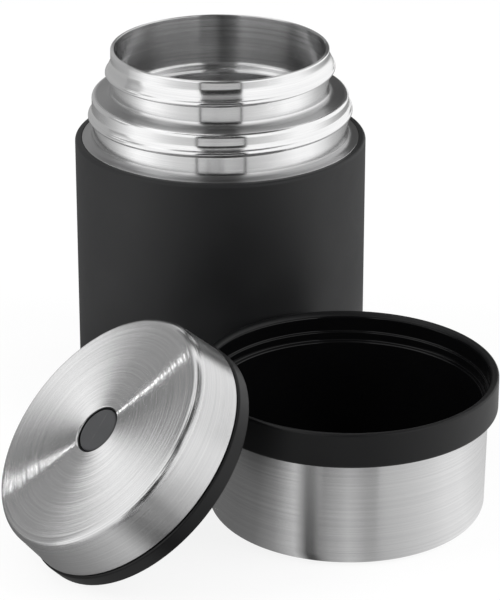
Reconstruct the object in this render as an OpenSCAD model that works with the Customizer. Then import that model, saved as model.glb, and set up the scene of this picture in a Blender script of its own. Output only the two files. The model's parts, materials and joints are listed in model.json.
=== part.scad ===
/* [Jar body] */
// Outside diameter of the coated body
body_d = 102; // [96:0.5:110]
// Height of the shoulder that the cup's collar comes down on
body_h = 97; // [87:0.5:122]
// Thickness of the body's outer sheet
shell_wall = 0.8; // [0.6:0.1:1]
// Width of the shoulder's outer part that the black coat covers
coat_edge_w = 2.3; // [1.6:0.1:3.2]
// Rounding of the body's bottom edge
base_edge_r = 3; // [2:0.25:4]

/* [Neck] */
// Width of the shoulder between the body's side and the lower step
shoulder_w = 6.1; // [5.5:0.1:7]
// Height of the lower step above the shoulder
low_step_h = 15.7; // [13.5:0.1:18]
// How far the lower step's rolled thread bead stands out
low_bead_out = 1.4; // [0.9:0.1:1.6]
// Height over which the lower step flares out to its bead
low_flare_h = 2.8; // [2:0.1:3.6]
// Width of the ledge between the two steps
ledge_w = 6.8; // [5.9:0.1:7.9]
// Height of the upper step above the ledge
top_step_h = 16.5; // [15.5:0.1:19]
// How far the upper step's rolled thread bead stands out
top_bead_out = 2; // [1.6:0.1:2.3]
// Height over which the upper step flares out to its bead
top_flare_h = 5; // [3:0.1:6]
// Thickness of the neck's outer sheet
neck_wall = 0.6; // [0.5:0.1:0.8]
// Height of a thread bead's underside
bead_h = 1.4; // [1:0.1:2]

/* [Inner vessel] */
// Width of the vacuum between the body's outer sheet and the vessel
vacuum_gap = 4.5; // [3:0.1:6.5]
// Thickness of the vessel's sheet
liner_wall = 0.5; // [0.4:0.1:0.6]
// Height of the vessel's floor above the table
floor_z = 9; // [8:0.25:14]
// Rounding of the vessel's bottom corner
vessel_corner_r = 10; // [6:0.5:16]
// Width of the rounded seal seat between the bore and the throat
seat_w = 3.35; // [2.6:0.05:4.8]
// Depth of the seal seat's rim below the lip
seat_depth = 17.4; // [16.8:0.1:18.4]

/* [Base] */
// Width of the flat ring that the jar stands on
stand_w = 4; // [3:0.25:6]
// Depth of the recess under the jar
recess_h = 2; // [1.6:0.1:3]
// Thickness of the base sheet
base_wall = 0.8; // [0.6:0.1:1]
// Diameter of the getter tablet
getter_d = 12; // [8:0.5:16]
// Height of the getter tablet
getter_h = 2; // [1.5:0.1:2.4]

/* [Cup] */
// Thickness of the collar and of the sleeve that lines it, together
rim_wall = 2.9; // [2.8:0.1:3.3]
// Height of the collar
collar_h = 11.8; // [10.6:0.1:15]
// Height of the cup when it stands on its steel base
cup_h = 48.5; // [42:0.5:56]
// How far the collar stands out over the cup's steel wall
collar_out = 3.2; // [2.9:0.1:4]
// How far the cup's steel wall leans in from the collar to its base
cup_taper = 0.5; // [0:0.1:2]
// Rounding of the cup's bottom edge
cup_edge_r = 4; // [3:0.25:5]
// Thickness of the cup's steel
cup_wall = 0.7; // [0.5:0.1:0.9]
// Thickness of the black bowl's wall
bowl_wall = 1.3; // [1:0.1:1.6]

/* [Lid] */
// Thickness of the lid's moulded deck over the neck's lip
deck_h = 3.3; // [2.7:0.1:5]
// Thickness of the moulded skirt inside the steel cap's lower edge
skirt_wall = 1.85; // [1.45:0.05:2.05]
// How far the steel cap's side leans in from its lower edge to its top
cap_taper = 1.2; // [0.8:0.1:1.6]
// Rounding of the steel cap's top edge
cap_edge_r = 3.3; // [2.5:0.1:4]
// Thickness of the steel cap
cap_wall = 0.7; // [0.5:0.1:0.8]
// How far the black rim stands out past the steel cap
rim_out = 0.6; // [0.4:0.1:1.4]
// Height of the black rim
rim_h = 5.4; // [4:0.1:7]
// Width of the dark groove between the rim and the steel cap
rim_gap = 0.5; // [0.3:0.1:0.8]
// Thickness of the stopper plug's wall
plug_wall = 2.2; // [1.6:0.1:2.6]
// Length of the plug's nose below the rim of the seal seat
nose_reach = 1.6; // [1.5:0.1:3]
// Thickness of the nose's moulded floor
nose_wall = 1.6; // [1.2:0.1:1.8]

/* [Vent valve] */
// Diameter of the vent button
button_d = 15.2; // [14:0.1:15.8]
// Width of the gap round the button in the steel cap
button_gap = 0.6; // [0.4:0.05:0.9]
// How far the button's top lies below the steel top
button_drop = 0.5; // [0.2:0.1:1]
// How far the button can be pressed
button_travel = 1.5; // [1:0.1:1.6]
// Diameter of the valve stem
stem_d = 3.2; // [2.8:0.1:3.6]
// Diameter of the valve's soft disc
valve_d = 12; // [10:0.25:15]
// Thickness of the valve's soft disc
valve_h = 1.5; // [1.2:0.1:1.7]
// Diameter of the spring's wire
wire_d = 0.8; // [0.6:0.1:1]

/* [Places] */
// Gap between the jar and the cup that stands beside it
stand_gap = 1.8; // [1:0.1:10]
// Direction from the jar to the cup, in degrees
cup_az = -65.5; // [-80:0.5:-50]
// Direction from the cup to the lid that leans on it, in degrees
lean_az = 207; // [195:0.5:220]
// Place on the plug's nose that rests on the collar, as a share of the nose's radius
rest_share = 0.92; // [0.8:0.01:0.95]

/* [Fits] */
// Clearance between the cup's collar and the lower step's thread bead
collar_clear = 0.4; // [0.3:0.05:0.8]
// Clearance between the lid's skirt and the upper step's thread bead
thread_clear = 0.5; // [0.3:0.05:0.6]
// Clearance between the plug and the neck's bore
plug_clear = 0.6; // [0.4:0.05:0.8]
// Clearance between the nose and the throat
nose_clear = 0.5; // [0.3:0.05:0.8]
// Gap between the closed lid's rim and the ledge
closed_gap = 0.5; // [0.3:0.05:0.8]
// Room over the neck's lip when the lid is closed
lip_room = 2.45; // [1:0.05:4]
// Clearance between parts that are pressed or glued together
fit_gap = 0.15; // [0.1:0.05:0.2]
// Gap left where two loose pieces lean on each other
lean_gap = 0.3; // [0.25:0.05:0.5]
// Sliding clearance round the button and the stem
slide_gap = 0.3; // [0.2:0.05:0.35]

/* [Hidden] */
$fn = 96;
arc_steps = 8;

steel = "#b9bcbe";
coat = "#232426";
black_plastic = "#1b1c1e";
soft_grey = "#3a3c40";

// Radii of the jar and its neck
body_r = body_d / 2;
low_r = body_r - shoulder_w;
top_r = low_r - ledge_w;
low_bead_r = low_r + low_bead_out;
top_bead_r = top_r + top_bead_out;
coat_r = body_r - coat_edge_w;

// Each step's foot and the corner under it share the width of their ledge
foot_share = 0.31;
corner_share = 0.2;
shoulder_r = corner_share * shoulder_w;
low_foot_r = foot_share * shoulder_w;
ledge_corner_r = corner_share * ledge_w;
top_foot_r = foot_share * ledge_w;
ledge_z = body_h + low_step_h;
lip_z = ledge_z + top_step_h;
lip_r = neck_wall;

// Where the thread beads' crests sit on their steps, as shares of the steps' heights
low_bead_share = 0.57;
top_bead_share = 0.53;
low_bead_z = body_h + low_bead_share * low_step_h;
top_bead_z = ledge_z + top_bead_share * top_step_h;

// Inner vessel
vessel_r = body_r - shell_wall - vacuum_gap - liner_wall;
liner_r = top_r - neck_wall - fit_gap;
bore_r = liner_r - liner_wall;
throat_r = bore_r - seat_w;
seat_z = lip_z - seat_depth;
seat_share = 0.47;
seat_foot_r = seat_share * seat_w;
seat_nose_r = seat_w - seat_foot_r;
flare_angle = 36;
vessel_turn_share = 0.18;
vessel_turn_r = vessel_turn_share * vessel_r;
seat_nose_z = seat_z - seat_foot_r - seat_nose_r;
flare_top_r = throat_r + seat_nose_r * (1 - cos(flare_angle));
flare_top_z = seat_nose_z - seat_nose_r * sin(flare_angle);
flare_low_r = vessel_r - vessel_turn_r * (1 - cos(flare_angle));
vessel_turn_z = flare_top_z - (flare_low_r - flare_top_r) / tan(flare_angle)
    - vessel_turn_r * sin(flare_angle);

// Foil round the vessel
foil_wall = 0.2;
foil_r = vessel_r + liner_wall + fit_gap;

// Base
stand_out_r = body_r - base_edge_r;
stand_in_r = stand_out_r - stand_w;
dimple_r = 2.4 * base_wall + 3 * base_wall;
seal_hole_r = 1.5 * base_wall;
seal_r = dimple_r - base_wall - fit_gap;
dimple_h = 1.8 * base_wall;
plate_top_z = recess_h + base_wall;
getter_off_r = stand_in_r / 2;
holder_wall = base_wall / 2;

// Cup, measured from the table up
mouth_r = low_bead_r + collar_clear;
collar_r = mouth_r + rim_wall;
collar_z = cup_h - collar_h;
collar_edge_r = 0.28 * rim_wall;
sleeve_share = 0.42;
sleeve_w = sleeve_share * rim_wall;
cup_top_r = collar_r - collar_out;
cup_low_r = cup_top_r - cup_taper;
collar_lip_h = sleeve_w;
foot_ring_h = 1.5 * bowl_wall;
bowl_flange_z = collar_z + foot_ring_h + fit_gap;
bowl_flange_h = bowl_wall;
bowl_top_r = cup_top_r - cup_wall - fit_gap - bowl_wall;
bowl_low_r = cup_low_r - cup_wall - fit_gap - bowl_wall;
bowl_floor_z = cup_wall + fit_gap + bowl_wall;
bowl_corner_r = cup_edge_r - cup_wall - fit_gap - bowl_wall / 2;
cup_dist = body_r + stand_gap + collar_r;
cup_x = cup_dist * cos(cup_az);
cup_y = cup_dist * sin(cup_az);

// Lid, in its own frame: its rim lies at zero and its steel top at lid_h
skirt_r = top_bead_r + thread_clear;
wall_low_r = skirt_r + skirt_wall;
cap_low_r = wall_low_r + fit_gap + cap_wall;
cap_top_r = cap_low_r - cap_taper;
wall_top_r = cap_top_r - cap_wall - fit_gap;
rim_r = cap_low_r + rim_out;
rim_edge_r = 0.15 * rim_h;
plug_r = bore_r - plug_clear;
plug_bore_r = plug_r - plug_wall;
nose_r = throat_r - nose_clear;
nose_edge_r = 0.75 * nose_wall;
slot_top = top_step_h - closed_gap + lip_room;
deck_top = slot_top + deck_h;
lid_h = deck_top + fit_gap + cap_wall;
seat_top = seat_z - seat_foot_r - ledge_z - closed_gap;
nose_low = seat_top - nose_reach;
plug_low = seat_top + 1.45 * nose_wall;
cap_low_z = rim_h + rim_gap;
ridge_h = 2 * bead_h;
ridge_z = top_bead_share * top_step_h - closed_gap - ridge_h;
ridge_r = (skirt_r + top_r) / 2;

// Vent valve, in the lid's frame
button_r = button_d / 2;
hole_r = button_r + button_gap;
guide_r = button_r + slide_gap;
guide_wall = 0.9 * nose_wall;
guide_out_r = guide_r + guide_wall;
stem_r = stem_d / 2;
stem_hole_r = stem_r + 2 * slide_gap;
valve_r = valve_d / 2;
well_r = valve_r + 2.5 * nose_wall;
valve_gap = lean_gap / 3;
well_top = nose_low + valve_h + button_travel + nose_wall / 2;
well_roof = well_top + nose_wall;
guide_low = well_roof + fit_gap;
guide_floor = guide_low + nose_wall;
button_top = lid_h - button_drop;
button_wall = 1.3;
button_roof = button_top - 1.4 * button_wall;
button_skirt_h = lid_h / 3;
button_low = button_top - button_skirt_h;
boss_r = stem_r + button_wall;
spring_r = (boss_r + button_r - button_wall) / 2;
clip_h = nose_wall / 2.5;
clip_r = stem_r + nose_wall;
stem_low = well_top - valve_gap - valve_h - 2 * clip_h;
spring_top = button_roof - fit_gap;
spring_low = guide_floor + fit_gap;

// The lid stands on its rim's lowest point and its nose rests on the collar's top edge.
// The tilt follows from the two rounded edges, one on the table and one on the nose.
rest_x = rest_share * nose_r;
lean_run = rest_x + rim_r - rim_edge_r;
lean_drop = rim_edge_r - nose_low + lean_gap + collar_edge_r;
lean_rise = cup_h - collar_edge_r - rim_edge_r;
lid_tilt = asin(lean_rise / norm([lean_run, lean_drop])) + atan2(lean_drop, lean_run);
lid_z = rim_edge_r + (rim_r - rim_edge_r) * sin(lid_tilt) - rim_edge_r * cos(lid_tilt);
lid_dist = collar_r - collar_edge_r + rest_x * cos(lid_tilt)
    + (lean_gap + collar_edge_r - nose_low) * sin(lid_tilt);
lid_x = cup_x + lid_dist * cos(lean_az);
lid_y = cup_y + lid_dist * sin(lean_az);

// Points on a round stretch of an outline, from one angle to another
function arc(x, y, r, from, to, steps = arc_steps) =
    [for (i = [0:steps]) let (a = from + (to - from) * i / steps) [x + r * cos(a), y + r * sin(a)]];

// A list of points in the opposite order
function backwards(points) = [for (i = [len(points) - 1:-1:0]) points[i]];

// A thread bead's side on a wall of radius r, going up: a short underside and a slow flare above
// the crest at height z, both of them half waves
function bead(r, z, out, flare_h, steps = 8) = concat(
    [for (i = [0:steps]) [r + out * (1 - cos(180 * i / steps)) / 2, z - bead_h * (1 - i / steps)]],
    [for (i = [1:steps]) [r + out * (1 + cos(180 * i / steps)) / 2, z + flare_h * i / steps]]
);

// The neck's side from the coat's edge up to the lip, moved inwards by inset
function neck_side(inset) = concat(
    [[coat_r - fit_gap, body_h - inset]],
    arc(low_r + low_foot_r, body_h + low_foot_r, low_foot_r + inset, 270, 180),
    inset > 0 ? [] : bead(low_r, low_bead_z, low_bead_out, low_flare_h),
    arc(low_r - ledge_corner_r, ledge_z - ledge_corner_r, ledge_corner_r - inset, 0, 90),
    arc(top_r + top_foot_r, ledge_z + top_foot_r, top_foot_r + inset, 270, 180),
    inset > 0 ? [] : bead(top_r, top_bead_z, top_bead_out, top_flare_h)
);

// The vessel's side from the lip down to the middle of its floor, moved outwards by out
function vessel_side(out) = concat(
    [[bore_r + out, lip_z]],
    arc(bore_r - seat_foot_r, seat_z, seat_foot_r + out, 0, -90),
    arc(throat_r + seat_nose_r, seat_nose_z, seat_nose_r - out, 90, 180 + flare_angle),
    arc(vessel_r - vessel_turn_r, vessel_turn_z, vessel_turn_r + out, flare_angle, 0),
    arc(vessel_r - vessel_corner_r, floor_z + vessel_corner_r, vessel_corner_r + out, 0, -90),
    [[0, floor_z - out]]
);

// Turns an outline of [radius, height] points round the vertical axis
module turned(points) {
    rotate_extrude() polygon(points);
}

// A plain ring or tube between two radii and two heights
module ring(inner, outer, low, high) {
    translate([0, 0, low]) difference() {
        cylinder(r = outer, h = high - low);
        translate([0, 0, low - high]) cylinder(r = inner, h = 3 * (high - low));
    }
}

module at_cup() {
    translate([cup_x, cup_y, 0]) children();
}

module at_lid() {
    translate([lid_x, lid_y, lid_z]) rotate([0, lid_tilt, lean_az]) children();
}

// Coated steel body, open at the neck and turned in to a lip at the base
module outer_shell() {
    color(coat) turned(concat(
        [[stand_out_r, 0]],
        arc(body_r - base_edge_r, base_edge_r, base_edge_r, -90, 0),
        arc(body_r - shoulder_r, body_h - shoulder_r, shoulder_r, 0, 90),
        [[coat_r, body_h], [coat_r, body_h - shell_wall]],
        arc(body_r - shoulder_r, body_h - shoulder_r, shoulder_r - shell_wall, 90, 0),
        arc(body_r - base_edge_r, base_edge_r, base_edge_r - shell_wall, 0, -90)
    ));
}

// Bare steel neck with two steps, each with one rolled thread bead
module threaded_neck() {
    color(steel) turned(concat(
        neck_side(0),
        arc(top_r - lip_r, lip_z - lip_r, lip_r, 0, 90),
        [[top_r - neck_wall, lip_z - neck_wall]],
        backwards(neck_side(neck_wall))
    ));
}

// Steel vessel that holds the food, with the rounded seal seat below its lip
module inner_vessel() {
    color(steel) turned(concat(vessel_side(liner_wall), backwards(vessel_side(0))));
}

// Thin reflecting foil round the vessel's straight wall
module radiation_foil() {
    foil_low = floor_z + vessel_corner_r;
    color("#b87b4b") ring(foil_r, foil_r + foil_wall, foil_low, vessel_turn_z);
}

// Pressed base sheet: a flat ring to stand on, a recess, and a dimple with the pumping hole
module base_plate() {
    step_r = stand_in_r;
    color(steel) turned([
        [stand_out_r - fit_gap, 0], [stand_out_r - fit_gap, base_wall],
        [step_r + base_wall / 2, base_wall], [step_r, plate_top_z],
        [dimple_r + base_wall, plate_top_z], [dimple_r, plate_top_z + dimple_h],
        [seal_hole_r, plate_top_z + dimple_h], [seal_hole_r, recess_h + dimple_h],
        [dimple_r - base_wall, recess_h + dimple_h], [dimple_r, recess_h],
        [step_r - base_wall, recess_h], [step_r - base_wall, base_wall], [step_r - base_wall / 2, 0]
    ]);
}

// Soft pad glued into the recess, level with the ring that the jar stands on
module base_pad() {
    color(soft_grey) cylinder(r = stand_in_r - base_wall - 2 * fit_gap, h = recess_h - fit_gap);
}

// Bead of solder glass that closes the pumping hole
module vacuum_seal() {
    color("#6d7f8a") translate([0, 0, recess_h]) cylinder(r = seal_r, h = dimple_h - fit_gap);
}

// Pressed tray that holds the getter on the base sheet, inside the vacuum
module getter_holder() {
    tray_r = getter_d / 2 + fit_gap;
    color(steel) translate([getter_off_r, 0, plate_top_z]) difference() {
        cylinder(r = tray_r + holder_wall, h = holder_wall + getter_h / 2);
        translate([0, 0, holder_wall]) cylinder(r = tray_r, h = getter_h);
    }
}

// Getter tablet that takes up stray gas
module getter() {
    color("#77716a") translate([getter_off_r, 0, plate_top_z + holder_wall])
        cylinder(d = getter_d, h = getter_h);
}

// Drawn steel cup with a rounded bottom edge and a slight taper
module cup_shell() {
    shell_top = bowl_flange_z - fit_gap;
    color(steel) at_cup() turned(concat(
        [[0, 0]],
        arc(cup_low_r - cup_edge_r, cup_edge_r, cup_edge_r, -90, 0),
        [[cup_top_r, collar_z], [cup_top_r, shell_top], [cup_top_r - cup_wall, shell_top],
            [cup_top_r - cup_wall, collar_z]],
        arc(cup_low_r - cup_edge_r, cup_edge_r, cup_edge_r - cup_wall, 0, -90),
        [[0, cup_wall]]
    ));
}

// Black bowl inside the steel cup, stepped out to a sleeve that lines the collar
module cup_liner() {
    sleeve_top = cup_h - collar_lip_h - fit_gap;
    sleeve_r = mouth_r + sleeve_w;
    step_z = bowl_flange_z + bowl_flange_h;
    under_r = bowl_corner_r + bowl_wall / 2;
    color(black_plastic) at_cup() turned(concat(
        [[0, cup_wall + fit_gap]],
        arc(bowl_low_r + bowl_wall - under_r, cup_wall + fit_gap + under_r, under_r, -90, 0),
        [[bowl_top_r + bowl_wall, bowl_flange_z], [sleeve_r, bowl_flange_z], [sleeve_r, sleeve_top],
            [mouth_r, sleeve_top], [mouth_r, step_z + mouth_r - bowl_top_r - bowl_flange_h / 2],
            [bowl_top_r, step_z - bowl_flange_h / 2]],
        arc(bowl_low_r - bowl_corner_r, bowl_floor_z + bowl_corner_r, bowl_corner_r, 0, -90),
        [[0, bowl_floor_z]]
    ));
}

// Black collar that grips the top of the steel and covers the sleeve
module cup_collar() {
    e = collar_edge_r;
    sleeve_r = mouth_r + sleeve_w + fit_gap;
    color(coat) at_cup() turned(concat(
        [[cup_top_r + fit_gap, collar_z]],
        arc(collar_r - e, collar_z + e, e, -90, 0),
        arc(collar_r - e, cup_h - e, e, 0, 90),
        arc(mouth_r + e, cup_h - e, e, 90, 180),
        [[mouth_r, cup_h - collar_lip_h], [sleeve_r, cup_h - collar_lip_h],
            [sleeve_r, bowl_flange_z - fit_gap], [cup_top_r + fit_gap, bowl_flange_z - fit_gap]]
    ));
}

// Steel cap over the lid, with a round hole for the button and a slightly flared side
module lid_cap() {
    e = cap_edge_r;
    color(steel) at_lid() turned(concat(
        [[hole_r, lid_h]],
        arc(cap_top_r - e, lid_h - e, e, 90, 0),
        [[cap_low_r, cap_low_z], [cap_low_r - cap_wall, cap_low_z]],
        arc(cap_top_r - e, lid_h - e, e - cap_wall, 0, 90),
        [[hole_r, lid_h - cap_wall]]
    ));
}

// Black lid moulding: rim, threaded skirt, deck and the wall of the stopper plug
module lid_body() {
    e = rim_edge_r;
    deck_r = wall_top_r - cap_edge_r;
    color(black_plastic) at_lid() turned(concat(
        arc(rim_r - e, e, e, -90, 0),
        arc(rim_r - e, rim_h - e, e, 0, 90),
        [[wall_low_r, rim_h], [wall_top_r, lid_h - cap_edge_r], [deck_r + cap_wall, deck_top],
            [guide_out_r + fit_gap, deck_top], [guide_out_r + fit_gap, slot_top + fit_gap],
            [plug_bore_r, slot_top + fit_gap], [plug_bore_r, plug_low], [plug_r, plug_low],
            [plug_r, slot_top], [skirt_r, slot_top],
            [skirt_r, ridge_z + ridge_h / 2], [ridge_r, ridge_z], [skirt_r, ridge_z - ridge_h / 2],
            [skirt_r, e / 2], [skirt_r + e / 2, 0]]
    ));
}

// Nose that closes the plug's foot, with a well in the middle for the valve
module plug_nose() {
    e = nose_edge_r;
    flange_low = plug_low + fit_gap;
    flange_top = flange_low + nose_wall;
    flange_r = plug_bore_r - fit_gap;
    floor_top = nose_low + nose_wall;
    color(black_plastic) at_lid() turned(concat(
        [[well_r, nose_low]],
        arc(nose_r - e, nose_low + e, e, -90, 0),
        [[nose_r, flange_low], [flange_r, flange_low], [flange_r, flange_top],
            [nose_r - nose_wall, flange_top], [nose_r - nose_wall, floor_top],
            [well_r + nose_wall, floor_top], [well_r + nose_wall, well_roof],
            [stem_hole_r, well_roof], [stem_hole_r, well_top], [well_r, well_top]]
    ));
}

// Foam that fills the plug round the valve's guide
module foam_core() {
    flange_top = plug_low + fit_gap + nose_wall + fit_gap;
    inner_r = nose_r - nose_wall - fit_gap;
    well_out_r = well_r + nose_wall + fit_gap;
    color("#d8d4c4") at_lid() turned([
        [well_out_r, nose_low + nose_wall + fit_gap], [inner_r, nose_low + nose_wall + fit_gap],
        [inner_r, flange_top], [plug_bore_r - fit_gap, flange_top], [plug_bore_r - fit_gap, slot_top],
        [guide_out_r + fit_gap, slot_top], [guide_out_r + fit_gap, guide_low], [well_out_r, guide_low]
    ]);
}

// Soft ring round the nose that seals on the neck's seat
module lid_gasket() {
    low = seat_top + fit_gap;
    high = plug_low - fit_gap;
    inner = nose_r + fit_gap;
    outer = (plug_r + bore_r) / 2;
    bulge = (high - low) / 2;
    color("#4a4d52") at_lid() turned(concat(
        [[inner, low]],
        arc(outer - bulge, low + bulge, bulge, -90, 90),
        [[inner, high]]
    ));
}

// Tube that guides the button and carries the spring
module button_guide() {
    top = deck_top - fit_gap;
    color(soft_grey) at_lid() turned([
        [stem_hole_r, guide_low], [guide_out_r, guide_low], [guide_out_r, top],
        [guide_r, top], [guide_r, guide_floor], [stem_hole_r, guide_floor]
    ]);
}

// Return spring between the guide's floor and the button
module button_spring() {
    color(steel) at_lid() ring(spring_r - wire_d / 2, spring_r + wire_d / 2, spring_low, spring_top);
}

// Round vent button with a hollow skirt and a boss that holds the stem
module vent_button() {
    e = button_wall / 2;
    color(soft_grey) at_lid() turned(concat(
        [[0, button_top]],
        arc(button_r - e, button_top - e, e, 90, 0),
        [[button_r, button_low], [button_r - button_wall, button_low],
            [button_r - button_wall, button_roof], [boss_r, button_roof],
            [boss_r, button_low], [stem_r + fit_gap / 2, button_low],
            [stem_r + fit_gap / 2, button_roof], [0, button_roof]]
    ));
}

// Stem from the button down to the valve
module valve_stem() {
    color(steel) at_lid() translate([0, 0, stem_low])
        cylinder(r = stem_r, h = button_roof - fit_gap / 2 - stem_low);
}

// Soft disc that closes the vent hole from below
module valve_disc() {
    high = well_top - valve_gap;
    color("#4a4d52") at_lid() ring(stem_r + fit_gap / 2, valve_r, high - valve_h, high);
}

// Clip that holds the disc on the stem
module stem_clip() {
    high = well_top - valve_gap - valve_h - fit_gap / 2;
    color(steel) at_lid() ring(stem_r + fit_gap / 2, clip_r, high - clip_h, high);
}

outer_shell();
threaded_neck();
inner_vessel();
radiation_foil();
base_plate();
base_pad();
vacuum_seal();
getter_holder();
getter();
cup_shell();
cup_liner();
cup_collar();
lid_cap();
lid_body();
plug_nose();
foam_core();
lid_gasket();
button_guide();
button_spring();
vent_button();
valve_stem();
valve_disc();
stem_clip();
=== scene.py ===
import json
import math

import bpy
import numpy as np
from mathutils import Matrix, Vector


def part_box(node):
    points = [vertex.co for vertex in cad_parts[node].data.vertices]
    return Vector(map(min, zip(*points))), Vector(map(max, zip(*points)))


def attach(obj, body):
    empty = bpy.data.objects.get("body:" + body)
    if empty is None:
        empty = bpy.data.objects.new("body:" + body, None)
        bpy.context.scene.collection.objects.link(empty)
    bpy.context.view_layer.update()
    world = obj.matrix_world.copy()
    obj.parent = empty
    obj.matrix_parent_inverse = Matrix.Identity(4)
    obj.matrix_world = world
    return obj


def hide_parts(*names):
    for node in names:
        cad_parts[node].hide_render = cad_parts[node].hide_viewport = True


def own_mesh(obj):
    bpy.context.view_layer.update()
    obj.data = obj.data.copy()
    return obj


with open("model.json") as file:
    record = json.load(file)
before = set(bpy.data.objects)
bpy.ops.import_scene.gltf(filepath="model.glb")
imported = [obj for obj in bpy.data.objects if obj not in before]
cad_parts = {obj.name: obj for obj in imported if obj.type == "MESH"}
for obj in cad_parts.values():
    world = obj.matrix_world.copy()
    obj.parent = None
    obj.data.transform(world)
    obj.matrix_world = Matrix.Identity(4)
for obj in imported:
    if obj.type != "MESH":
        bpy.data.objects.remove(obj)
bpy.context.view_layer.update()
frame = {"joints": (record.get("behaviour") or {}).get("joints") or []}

MM = 0.001

# Outlines: points of radius and height, in millimetres


def arc(r, z, radius, start, end, steps=10):
    """Points on a circle round (r, z), from one angle to another in degrees."""
    angles = np.radians(np.linspace(start, end, steps + 1))
    return np.column_stack([r + radius * np.cos(angles), z + radius * np.sin(angles)])


def outline(*stretches):
    """Joins points and arcs into one outline, with a point added near both ends and at the middle of
    each long straight stretch, so that smooth shading doesn't spread over it."""
    same_place, long_step, margin_limit = 1e-5, 0.9, 0.25
    points = np.vstack([np.atleast_2d(np.asarray(part, dtype=float)) for part in stretches])
    steps = np.linalg.norm(np.diff(points, axis=0), axis=1)
    points = points[np.append(steps > same_place, True)]
    steps = np.linalg.norm(np.diff(points, axis=0), axis=1)
    placed = np.concatenate([[0.0], np.cumsum(steps)])
    margin = np.minimum(margin_limit, steps / 4)
    long_ones = steps > long_step
    extra = np.concatenate([placed[:-1][long_ones] + margin[long_ones],
                            placed[1:][long_ones] - margin[long_ones],
                            placed[:-1][long_ones] + steps[long_ones] / 2])
    along = np.unique(np.concatenate([placed, extra]))
    return np.column_stack([np.interp(along, placed, points[:, 0]),
                            np.interp(along, placed, points[:, 1])])


def signed_area(side):
    """Area inside the outline, positive where it runs anticlockwise with the radius to the right."""
    r, z = side[:, 0], side[:, 1]
    return 0.5 * float(np.sum(r * np.roll(z, -1) - np.roll(r, -1) * z))


# Turned surfaces


def in_scene(name, data):
    """A new object with this data, put in the scene."""
    made = bpy.data.objects.new(name, data)
    bpy.context.scene.collection.objects.link(made)
    return made


def new_piece(name, points, faces, body, slot):
    """A piece of the object, from points in metres, in its slot's material. The faces are the
    corners one after another, how many each face has, and each corner's place on the map called
    turning, if there is one."""
    corners, sizes, marks = faces
    mesh = bpy.data.meshes.new(name)
    mesh.vertices.add(len(points))
    mesh.vertices.foreach_set("co", points.astype(np.float32).ravel())
    mesh.loops.add(len(corners))
    mesh.loops.foreach_set("vertex_index", corners.astype(np.int32))
    mesh.polygons.add(len(sizes))
    mesh.polygons.foreach_set("loop_start", (np.cumsum(sizes) - sizes).astype(np.int32))
    mesh.polygons.foreach_set("use_smooth", np.ones(len(sizes), dtype=bool))
    mesh.update(calc_edges=True)
    if marks is not None:
        layer = mesh.uv_layers.new(name="turning")
        layer.data.foreach_set("uv", marks.astype(np.float32).ravel())
    mesh.materials.append(LOOKS[slot])
    piece = in_scene(name, mesh)
    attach(piece, body)
    return piece


def put(points, place):
    """Points turned and moved to a place, which is a matrix."""
    return points @ np.array(place.to_3x3()).T + np.array(place.translation)


def turned_points(side, around, closed, shape):
    """The points of a turned surface in metres, a row for each point of the outline. Each end of an
    open outline is one point on the axis."""
    turn = np.arange(around) * 2 * math.pi / around
    radius = np.repeat(side[:, :1], around, axis=1)
    height = np.repeat(side[:, 1:], around, axis=1)
    if shape is not None:
        radius, height = shape(radius, height, turn[None, :])
    grid = np.stack([radius * np.cos(turn), radius * np.sin(turn), height], axis=-1) * MM
    if closed:
        return grid.reshape(-1, 3)
    return np.vstack([grid[:1, 0], grid[1:-1].reshape(-1, 3), grid[-1:, 0]])


def turned_faces(side, around, closed):
    """The faces between those points, facing outwards. On the axis, where two corners of a face
    fall together, one is dropped. Returns corners, sizes and marks for new_piece."""
    count = len(side)
    loop = np.vstack([side, side[:1]]) if closed else side
    length = np.concatenate([[0.0], np.cumsum(np.linalg.norm(np.diff(loop, axis=0), axis=1))]) * MM
    rows = np.arange(count if closed else count - 1)
    row, column = np.meshgrid(rows, np.arange(around), indexing="ij")
    i = row.reshape(-1, 1) + [0, 0, 1, 1]
    j = column.reshape(-1, 1) + [0, 1, 1, 0]
    marks = np.stack([length[i], j / around], axis=-1)
    if closed:
        corners = i % count * around + j % around
    else:
        last = 1 + (count - 2) * around
        inner = 1 + (i - 1) * around + j % around
        corners = np.where(i == 0, 0, np.where(i == count - 1, last, inner))
    if signed_area(side) > 0:
        corners, marks = corners[:, ::-1], marks[:, ::-1]
    kept = corners != np.roll(corners, 1, axis=1)
    return corners[kept], kept.sum(axis=1), marks[kept]


def turned(name, side, body, slot, place=None, around=256, closed=True, shape=None):
    """A surface of revolution on a grid of two parameters.

    One parameter runs along the outline and the other round the axis: a point of the outline at
    radius r and height z goes to (r cos a, r sin a, z). shape, if given, first moves the radii and
    heights of the whole grid. A closed outline makes a ring, and an open one starts and ends on the
    axis. The map called turning holds the length along the outline and the share of a full turn.
    """
    side = np.asarray(side, dtype=float)
    if closed and np.linalg.norm(side[0] - side[-1]) < 1e-6:
        side = side[:-1]
    points = turned_points(side, around, closed, shape)
    if place is not None:
        points = put(points, place)
    return new_piece(name, points, turned_faces(side, around, closed), body, slot)


# Shader building


def feed(tree, sockets, feeds):
    """Feeds a node's sockets with values or from other sockets."""
    for key, value in feeds.items():
        if isinstance(value, bpy.types.NodeSocket):
            tree.links.new(value, sockets[key])
        else:
            sockets[key].default_value = value


def add(tree, kind, feeds=None, **settings):
    """A shader node of this kind, with its settings, and its sockets fed."""
    made = tree.nodes.new("ShaderNode" + kind)
    for key, value in settings.items():
        setattr(made, key, value)
    feed(tree, made.inputs, feeds or {})
    return made


def calc(tree, operation, first, second=0.0):
    """One Math node's result."""
    return add(tree, "Math", {0: first, 1: second}, operation=operation).outputs[0]


def times(tree, first, second):
    """The product of two values."""
    return calc(tree, "MULTIPLY", first, second)


def plus(tree, first, second):
    """The sum of two values."""
    return calc(tree, "ADD", first, second)


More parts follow.
